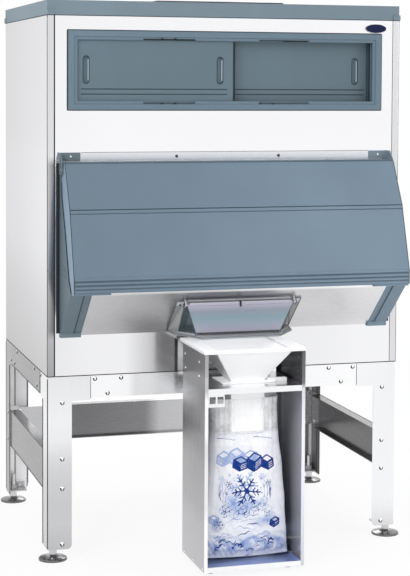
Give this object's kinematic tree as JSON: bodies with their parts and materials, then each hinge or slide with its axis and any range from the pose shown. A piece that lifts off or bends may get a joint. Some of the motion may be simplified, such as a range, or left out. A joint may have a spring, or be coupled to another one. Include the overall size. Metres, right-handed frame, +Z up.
{
  "type": "ice storage bin",
  "caption": "Insulated ice storage bin on a leg stand with a lift-up door, sliding windows, a discharge chute with a clear flap and a bag filling stand in front.",
  "frame": {"origin": "on the floor, in the middle of the overall box", "axes": "+X to the object's right as seen from the front, +Y from the front to the back, +Z up"},
  "size_m": [1.374, 1.262, 1.991],
  "materials": {
    "steel": "satin",
    "stand_steel": "satin",
    "fasteners": "satin",
    "foot_steel": "satin",
    "grey_plastic": "matte",
    "door_plastic": "matte",
    "lid_plastic": "matte",
    "slider_plastic": "satin",
    "white_plastic": "satin",
    "clear_plastic": "gloss",
    "bag_film": "gloss",
    "rubber": "matte",
    "foam": "matte",
    "badge": "gloss"
  },
  "bodies": {
    "bin": {"side_panel_left": "steel", "side_panel_right": "steel", "back_panel": "steel", "front_panel_upper": "steel", "front_panel_lower": "steel", "bottom_pan": "steel", "foam_core": "foam", "liner": "white_plastic", "top_cap": "lid_plastic", "drop_gasket": "rubber", "window_frame": "grey_plastic", "badge": "badge", "hinge_strip": "steel", "panel_screws": "fasteners", "door_cheek_left": "grey_plastic", "door_cheek_right": "grey_plastic", "hinge_bracket_left": "grey_plastic", "hinge_bracket_right": "grey_plastic", "hinge_pins": "fasteners", "apron_skin": "steel", "apron_core": "foam", "chute_throat": "steel", "chute_hood": "clear_plastic", "flap_rod": "fasteners", "drain_fitting": "white_plastic", "leg_front_left": "stand_steel", "leg_front_right": "stand_steel", "leg_rear_left": "stand_steel", "leg_rear_right": "stand_steel", "rail_front": "stand_steel", "rail_rear_top": "stand_steel", "rail_side_top_left": "stand_steel", "rail_side_top_right": "stand_steel", "rail_side_low_left": "stand_steel", "rail_side_low_right": "stand_steel", "rail_rear_low": "stand_steel", "stand_bolts": "fasteners", "foot_nuts": "foot_steel", "bagger_side_left": "steel", "bagger_side_right": "steel", "bagger_back": "steel", "bagger_shelf": "steel", "bagger_tray": "steel", "bagger_glides": "rubber", "bag_bracket": "steel", "funnel": "white_plastic", "spout": "white_plastic", "bag": "bag_film"},
    "front_door": {"door_shell": "door_plastic", "door_foam": "foam", "door_liner": "white_plastic", "door_gasket": "rubber", "hinge_bushings": "white_plastic"},
    "window_left": {"window_door_left": "slider_plastic"},
    "window_right": {"window_door_right": "slider_plastic"},
    "flap": {"chute_flap": "clear_plastic"},
    "foot_fl": {"foot_front_left": "foot_steel"},
    "foot_fr": {"foot_front_right": "foot_steel"},
    "foot_rl": {"foot_rear_left": "foot_steel"},
    "foot_rr": {"foot_rear_right": "foot_steel"}
  },
  "joints": [
    {"name": "front_door_hinge", "type": "hinge", "parent": "bin", "child": "front_door", "pos_m": [0, -0.335, 1.389], "axis": [-1, 0, 0], "range_deg": [0, 100]},
    {"name": "window_left_slide", "type": "slide", "parent": "bin", "child": "window_left", "axis": [1, 0, 0], "range_m": [0, 0.54]},
    {"name": "window_right_slide", "type": "slide", "parent": "bin", "child": "window_right", "axis": [-1, 0, 0], "range_m": [0, 0.54]},
    {"name": "flap_hinge", "type": "hinge", "parent": "bin", "child": "flap", "pos_m": [0, -0.451, 0.92], "axis": [-1, 0, 0], "range_deg": [0, 70]},
    {"name": "foot_fl_screw", "type": "slide", "parent": "bin", "child": "foot_fl", "axis": [0, 0, -1], "range_m": [0, 0.03]},
    {"name": "foot_fr_screw", "type": "slide", "parent": "bin", "child": "foot_fr", "axis": [0, 0, -1], "range_m": [0, 0.03]},
    {"name": "foot_rl_screw", "type": "slide", "parent": "bin", "child": "foot_rl", "axis": [0, 0, -1], "range_m": [0, 0.03]},
    {"name": "foot_rr_screw", "type": "slide", "parent": "bin", "child": "foot_rr", "axis": [0, 0, -1], "range_m": [0, 0.03]}
  ]
}
